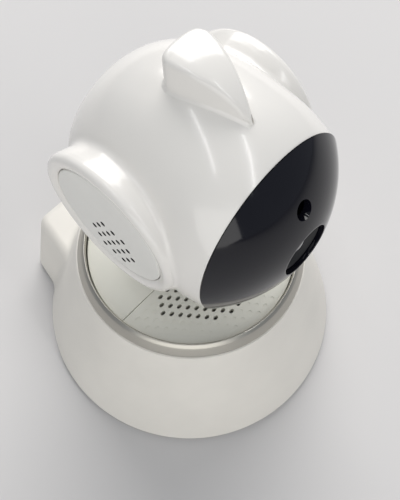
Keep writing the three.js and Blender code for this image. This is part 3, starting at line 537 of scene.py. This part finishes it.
def make_turntable():
    """The plain rear half with the neck's opening, and the front half with the sound slots."""
    rear = make_half_disc("turntable_plain_half", False, WHITE_DISC)
    reach = NECK_HALF_WIDTH + NECK_GAP
    neck_hole = box_outline(-reach, NECK_FROM_Y - NECK_GAP, reach, NECK_TO_Y + NECK_GAP, 1)
    carve(rear, prisms("neck_opening", [(neck_hole, 40, 50, "z")]), 60)
    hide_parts("turntable_rear")
    front = make_half_disc("turntable_sound_half", True, WHITE_DISC)
    carve(front, prisms("sound_slots", sound_slots()), 60)
    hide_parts("turntable_grille")


def soften_cad_edges():
    """The neck's edges are moulded round, and so are those of the two sockets."""
    for node, width in (("yoke", 0.5), ("ethernet_jack", 0.15), ("power_inlet", 0.12)):
        modifier = frame["nodes"][node].modifiers.new("edges", "BEVEL")
        modifier.width = width * MM
        modifier.segments = 3
        modifier.limit_method = "ANGLE"
        modifier.angle_limit = radians(50)


# --- Head ------------------------------------------------------------------------------------------

# Millimetres, in the head's own frame about the tilt axis.
BALL_HALF_WIDTH = 25.15
CHEEK_SWELL = 0.55
CHEEK_FORWARD = 21
CHEEK_SPREAD = 5
FACE_TAPER = 0.45
EAR_FILLET = 1.6
SKIN_THICKNESS = 1.6
SEAM_HALF_GAP = 0.14
WINDOW_THICKNESS = 1.8

# The ear's radius at stations out along the tilt axis.
FLARE_X = [0, 12, 19, 21.2, 23, 24.3, 25.3]
FLARE_R = [17.8, 18.4, 19.2, 19.8, 20.3, 20.6, 20.7]

# The neck's faces are upright up to this height. The slot in the head clears them there.
NECK_BEND_Z = 60
NECK_SLOT_HALF_WIDTH = 6.2
NECK_SLOT_RADII = (22, 44)

# The crest from above: half of its rear edge, then the curve of its side from there to the tip.
CREST_REAR = [(0, -0.55), (2.5, -0.65), (4.4, -0.95), (5.4, -1.7), (5.9, -3)]
CREST_SIDE = [(5.95, -3), (5.95, -8.2), (0, -21.4)]
CREST_ARC_RADIUS = 19
CREST_ARC_Y = -3.4
CREST_ARC_Z = 20.5
CREST_CROWN = 0.02
CREST_SUNK = 0.3

# Rings up the crest: how far outside its outline, and how far above the ball or below its top.
CREST_FOOT_RINGS = [(1.0, -0.3), (0.55, 0.1), (0.2, 0.35), (0.02, 0.9)]
CREST_TOP_RINGS = [(0, 1.15), (-0.06, 0.75), (-0.25, 0.36), (-0.6, 0.1), (-1.1, 0.0)]

# The sound holes are a hexagon with three to five in a row, turned about the tilt axis.
HOLE_RADIUS = 0.78
HOLE_PITCH = 3.3
HOLES_TURN_DEG = 50.7
HOLES_AT = (-0.7, -6.2)


def ball_half_width(forward):
    """Half the ball's width at each station from back to front."""
    rear = np.clip((BALL_FORWARD - forward) / (HEAD_REAR + BALL_FORWARD), 0, 1)
    front = np.clip((forward - BALL_FORWARD) / (RIM_FORWARD - BALL_FORWARD), 0, 1.4)
    swell = CHEEK_SWELL * np.exp(-(((forward - CHEEK_FORWARD) / CHEEK_SPREAD) ** 2))
    widest = BALL_HALF_WIDTH + swell - FACE_TAPER * front**4
    return widest * np.maximum(1 - rear**REAR_POWER, 1e-6) ** REAR_FULLNESS


def ball_distance(x, forward, up):
    """About the distance outside the ball, from the point's place in the head's own frame."""
    rise = np.sqrt(np.maximum(BALL_RADIUS**2 - (forward - BALL_FORWARD) ** 2, 1e-3))
    wide = ball_half_width(forward)
    v = up + FACE_DROP
    level = np.sqrt((x / wide) ** 2 + (v / rise) ** 2) - 1
    steep = np.sqrt((x / wide**2) ** 2 + (v / rise**2) ** 2) / np.maximum(level + 1, 1e-3)
    return level / np.maximum(np.hypot(steep, 0.012), 1e-3)


def head_sections(bearings, rows):
    """Half-profiles of the head round the tilt axis, from the ear's lip to the middle plane."""
    lip = atan2(FLARE_R[-1], FLARE_X[-1])
    slopes = np.linspace(lip, pi / 2, 1400)
    bearing, slope = np.meshgrid(bearings, slopes, indexing="ij")

    def distance(reach):
        x = reach * np.cos(slope)
        across = reach * np.sin(slope)
        ball = ball_distance(x, across * np.cos(bearing), across * np.sin(bearing))
        flare = across - np.interp(x, FLARE_X, FLARE_R)
        flare = np.maximum(flare, x - FLARE_X[-1] - 0.02)
        return smooth_union(ball, flare, EAR_FILLET)

    reach = first_outside(distance, 15, 45, bearing.shape)
    sections = np.zeros((rows, len(bearings), 3))
    for i, angle in enumerate(bearings):
        x, across = spread_along(reach[i] * np.cos(slopes), reach[i] * np.sin(slopes), rows, 1.15)
        sections[:, i] = np.stack([x, -across * cos(angle), across * sin(angle)], axis=1)
    sections[-1, :, 0] = 0
    return sections


def ear_lip():
    """The lip and the cap's recess as (x, radius), from the middle of the ear outwards."""
    recess = [(24.2, 0.01), (24.2, 8), (24.2, 17), (26.1, 17.02), (26.4, 17.2)]
    rim = [(26.75, 17.9), (27, 18.6), (27.02, 19.2), (26.85, 19.85), (26.4, 20.38), (25.9, 20.62)]
    return recess + rim


def make_head_shell():
    """The ball with its ears, cut into the main moulding and the rear cover, hollow and slotted."""
    bearings = np.linspace(0, 2 * pi, 256, endpoint=False)
    lip = [[(x, -r * cos(a), r * sin(a)) for a in bearings] for x, r in ear_lip()]
    half = lip + head_sections(bearings, 90).tolist()
    mirrored = [[(-x, y, z) for x, y, z in ring] for ring in half[:-1]][::-1]
    mesh = mesh_from("head_skin", half + mirrored, caps=False, place=HEAD_FRAME)
    shell = cut_between(mesh, "head_moulding", -RIM_FORWARD, REAR_SEAM - SEAM_HALF_GAP)
    cover = cut_between(mesh, "head_rear_moulding", REAR_SEAM + SEAM_HALF_GAP, 60)
    for obj, node in ((shell, "head_shell"), (cover, "head_rear_cover")):
        thicken(obj, SKIN_THICKNESS)
        carve(obj, neck_slot(), 40)
        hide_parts(node)


def cut_between(mesh, name, front_y, rear_y):
    """A copy of the skin that keeps only what lies between two planes across the head."""
    bm = bmesh.new()
    bm.from_mesh(mesh)
    normal = HEAD_FRAME.to_3x3() @ Vector((0, 1, 0))
    for level, keep in ((front_y, 1), (rear_y, -1)):
        point = HEAD_FRAME @ (Vector((0, level, 0)) * MM)
        bmesh.ops.bisect_plane(bm, geom=bm.verts[:] + bm.edges[:] + bm.faces[:], plane_co=point,
                               plane_no=normal * -keep, clear_outer=True, dist=1e-7)
    copy = bpy.data.meshes.new(name)
    bm.to_mesh(copy)
    bm.free()
    return new_object(name, copy, WHITE_GLOSS, "head", sharp_deg=40)


def thicken(obj, wall):
    """Gives an open skin a wall on its inner side."""
    modifier = obj.modifiers.new("wall", "SOLIDIFY")
    modifier.thickness = wall * MM
    modifier.offset = -1
    modifier.use_rim = True
    apply_modifiers(obj)


def neck_slot():
    """The cut under the head that the neck sweeps through as the head tilts."""
    drop = TILT_AT.z / MM - NECK_BEND_Z
    axis_y = TILT_AT.y / MM - PAN_Y
    rear = -90 + degrees(atan2(NECK_TO_Y - axis_y, drop)) + TILT_UP_DEG + 4
    front = -90 + degrees(atan2(NECK_FROM_Y - axis_y, drop)) - TILT_DOWN_DEG - 3
    inner, outer = NECK_SLOT_RADII
    outline = [*arc(0, 0, outer, front, rear, 40), *arc(0, 0, inner, rear, front, 30)]
    sides = (-NECK_SLOT_HALF_WIDTH, NECK_SLOT_HALF_WIDTH)
    return prisms("neck_slot", [(outline, *sides, "x")], place=HEAD_FRAME)


def crest_top(x, y):
    """The crest's top: an arc from its rear edge to its tip, slightly crowned across."""
    rise = sqrt(max(CREST_ARC_RADIUS**2 - (y - CREST_ARC_Y) ** 2, 0))
    return CREST_ARC_Z + rise - CREST_CROWN * x * x


def ball_top(x, y):
    """The height of the ball's surface under a point of the crest."""
    rise = sqrt(BALL_RADIUS**2 - (-y - BALL_FORWARD) ** 2)
    wide = float(ball_half_width(np.array(-y)))
    return rise * sqrt(max(1 - (x / wide) ** 2, 0)) - FACE_DROP


def crest_plan():
    """The crest's outline from above, clockwise from the middle of its rear edge."""
    side = []
    for i in range(1, 41):
        t = i / 40
        shares = ((1 - t) ** 2, 2 * t * (1 - t), t * t)
        side.append(tuple(sum(s * p[k] for s, p in zip(shares, CREST_SIDE)) for k in (0, 1)))
    right = rounded(CREST_REAR, 1.2, 5)[1:] + side
    return right + [(-x, y) for x, y in reversed(right[:-1]) if x > 0.01]


def crest_ring(plan, spread, height):
    """The plan moved outwards by spread, or inwards but not past its middle line."""
    ring = []
    for i, (x, y) in enumerate(plan):
        along = (Vector(plan[(i + 1) % len(plan)]) - Vector(plan[i - 1])).normalized()
        shift = spread if spread > 0 else max(spread, -abs(x) * 0.8 - 0.02)
        u, v = x - along.y * shift, y + along.x * shift
        ring.append((u, v, max(height(u, v), ball_top(u, v) - CREST_SUNK)))
    return ring


def make_crest():
    """A pointed crest with upright walls, a softened top edge and a small fillet at its foot."""
    plan = crest_plan()
    rings = []
    for spread, above_ball in CREST_FOOT_RINGS:
        rings.append(crest_ring(plan, spread, lambda u, v: min(
            ball_top(u, v) + above_ball, max(crest_top(u, v), ball_top(u, v) - CREST_SUNK))))
    for spread, below_top in CREST_TOP_RINGS:
        rings.append(crest_ring(plan, spread, lambda u, v: crest_top(u, v) - below_top))
    edge = rings[-1]
    for share in (0.6, 0.3, 0.0):
        rings.append([
            (u * share, v, max(crest_top(u * share, v), ball_top(u * share, v) - CREST_SUNK))
            for u, v, _ in edge
        ])
    mesh = mesh_from("crest_moulding", rings, caps=False, place=HEAD_FRAME)
    crest = new_object("crest_moulding", mesh, WHITE_GLOSS, "head", sharp_deg=50)


def make_face_window():
    """The smoked dome, with a softened edge round the lens opening and a hole for the light sensor."""
    inner = DOME_RADIUS - WINDOW_THICKNESS

    def at_forward(radius, forward):
        return degrees(acos((forward - DOME_FORWARD) / radius))

    edge = RIM_FORWARD + 0.25
    outside = arc(DOME_FORWARD, 0, DOME_RADIUS, at_forward(DOME_RADIUS, edge),
                  degrees(asin(LENS_HOLE_RADIUS / DOME_RADIUS)), 60)
    inside = arc(DOME_FORWARD, 0, inner, degrees(asin(LENS_HOLE_RADIUS / inner)),
                 at_forward(inner, edge), 40)
    end_forward, end_radius = outside[-1]
    lip = [(end_forward - 0.05, end_radius - 0.12), (end_forward - 0.35, end_radius - 0.2)]
    profile = [(radius, -forward) for forward, radius in [*outside, *lip, *inside]]
    dome = turned("face_dome", profile, WINDOW_BLACK, "head", along="y", at=(0, 0, -FACE_DROP),
                  sides=160, loop=True, place=HEAD_FRAME, sharp_deg=45)
    hole = circle(0, SENSOR_HOLE_UP - FACE_DROP, SENSOR_HOLE_RADIUS, 40)
    carve(dome, prisms("sensor_opening", [(hole, -45, -20, "y")], place=HEAD_FRAME), 45)
    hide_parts("face_window")


def make_lens():
    """The bezel with its bevelled lip, and the domed front glass inside it."""
    on_face = {"along": "y", "at": (0, 0, -FACE_DROP), "place": HEAD_FRAME, "body": "head"}
    bezel_profile = rounded([(5.9, -31), (6.95, -31), (6.95, -36.6), (6.6, -36.9), (6.1, -36.6),
                             (4.85, -35.4), (5.9, -34.9)], 0.2, 4)
    bezel = turned("lens_ring", bezel_profile, BLACK_MATTE, sides=96, loop=True, **on_face)
    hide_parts("lens_bezel")
    edge = [(0, -34.8), (4.5, -34.8), (4.5, -35.1)]
    shares = [sin(radians(angle)) for angle in range(90, -1, -6)]
    domed = [(4.4 * share, -35.15 - 1.6 * (1 - share**2)) for share in shares]
    glass = turned("lens_front_glass", edge + domed, LENS_GLASS, sides=72, **on_face)
    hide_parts("lens_glass")


def sound_holes():
    """Nineteen holes in a hexagon, as (y, z) about the ear's middle."""
    turn = radians(HOLES_TURN_DEG)
    middle_y, middle_z = HOLES_AT
    holes = []
    for row in range(-2, 3):
        count = 5 - abs(row)
        for i in range(count):
            along = (i - (count - 1) / 2) * HOLE_PITCH
            down = row * HOLE_PITCH * sqrt(0.75)
            forward = along * cos(turn) + down * sin(turn)
            up = along * sin(turn) - down * cos(turn)
            holes.append((middle_y - forward, middle_z + up))
    return holes


def paint_shade_in_sound_holes(cap):
    """Painted shade: the sound holes' walls get the black matte material as a stand-in for the shade inside
    the holes, so that the holes read dark.
    """
    cap.data.materials.append(BLACK_MATTE)
    to_head = HEAD_FRAME.inverted()
    centres = sound_holes()
    for face in cap.data.polygons:
        _, y, z = to_head @ face.center / MM
        if abs((to_head.to_3x3() @ face.normal).x) < 0.3:
            if any(hypot(y - v, z - w) < HOLE_RADIUS + 0.05 for v, w in centres):
                # Painted shade: the black matte slot on the hole walls, not the cap's own colour.
                face.material_index = 1


def make_ear_caps():
    """A slightly domed disc in each ear, with the sound holes through it."""
    profile = rounded([(0, 24.7), (16.75, 24.7), (16.88, 26.2), (16.6, 26.45), (12, 26.5), (0, 26.55)],
                      0.18, 4)
    for side, name in ((-1, "left"), (1, "right")):
        mirrored = [(radius, side * x) for radius, x in profile]
        cap = turned(f"ear_disc_{name}", mirrored, WHITE_CAP, "head", along="x", sides=128,
                     place=HEAD_FRAME, sharp_deg=45)
        low, high = sorted((side * 24, side * 28))
        holes = [(circle(y, z, HOLE_RADIUS, 16), low, high, "x") for y, z in sound_holes()]
        carve(cap, prisms("sound_holes", holes, place=HEAD_FRAME), 45)
        paint_shade_in_sound_holes(cap)
        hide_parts(f"ear_cap_{name}")


# --- Stage, light and camera -----------------------------------------------------------------------

LIGHTS_AIM = Vector((0, 0, 0.07))
SKY_COLOUR = (0.86, 0.92, 1, 1)
SKY_STRENGTH = 0.31
LENS_MM = 43.2
SENSOR_MM = 36
# The camera's place in millimetres from the foot of the pan axis, and its turn about x, y and z.
CAMERA_AT = (-63.01, -56.15, 215.85)
CAMERA_TURN_DEG = (26.056, -1.29, -47.588)


def make_stage():
    """A wide sheet of pale paper under the camera."""
    material = surface("floor_paper", (206, 204, 203), 0.8, variation=0.01, bump=0.02, patch_mm=200)
    bm = bmesh.new()
    bmesh.ops.create_grid(bm, x_segments=4, y_segments=4, size=3)
    mesh = bpy.data.meshes.new("floor")
    bm.to_mesh(mesh)
    bm.free()
    floor = new_object("floor", mesh, material, None)


def add_light(name, direction, distance, size, power, colour=(1, 1, 1), stretch=None):
    """An area light that shines from a direction; stretch is the way its long side runs."""
    light = bpy.data.lights.new(name, "AREA")
    light.shape = "RECTANGLE"
    light.size, light.size_y = size
    light.energy = power
    light.color = colour
    obj = bpy.data.objects.new(name, light)
    bpy.context.scene.collection.objects.link(obj)
    toward = Vector(direction).normalized()
    side = Vector(stretch or (1, 0, 0))
    side = (side - toward * side.dot(toward)).normalized()
    up = toward.cross(side)
    turn = Matrix((side, up, toward)).transposed().to_4x4()
    obj.matrix_world = Matrix.Translation(LIGHTS_AIM + toward * distance) @ turn


def make_lights():
    """A dim sky, two thin strips for the highlights, a large key behind and a soft fill in front."""
    world = bpy.data.worlds.new("studio")
    world.use_nodes = True
    background = world.node_tree.nodes["Background"]
    background.inputs["Color"].default_value = SKY_COLOUR
    background.inputs["Strength"].default_value = SKY_STRENGTH
    bpy.context.scene.world = world
    add_light("strip_overhead", (-0.33, 0.0, 0.96), 0.75, (0.6, 0.035), 0.6,
              stretch=(-0.41, -0.72, -0.22))
    add_light("strip_front", (0.11, -0.64, 0.75), 0.75, (0.56, 0.035), 0.7, stretch=(-0.26, -0.4, -0.31))
    add_light("key_rear", (0.62, 0.5, 0.66), 1.3, (1.1, 1.1), 18.5, (1, 0.985, 0.97))
    add_light("fill_front", (-0.75, -0.6, 0.22), 1.3, (1.5, 1.0), 7.8, (1, 0.985, 0.95))


def make_camera():
    """The photograph's view, from the front left and well above."""
    data = bpy.data.cameras.new("view")
    data.sensor_width = SENSOR_MM
    data.lens = LENS_MM
    data.clip_start = 0.01
    camera = bpy.data.objects.new("view", data)
    bpy.context.scene.collection.objects.link(camera)
    turn = Euler([radians(angle) for angle in CAMERA_TURN_DEG]).to_matrix().to_4x4()
    camera.matrix_world = PAN_FRAME @ Matrix.Translation(Vector(CAMERA_AT) * MM) @ turn
    bpy.context.scene.camera = camera


dress_cad_nodes()
make_base_shell()
make_trim_ring()
make_feet()
make_jack_contacts()
make_turntable()
soften_cad_edges()
make_head_shell()
make_crest()
make_face_window()
make_lens()
make_ear_caps()
make_stage()
make_lights()
make_camera()
bpy.context.scene.view_settings.view_transform = "Standard"
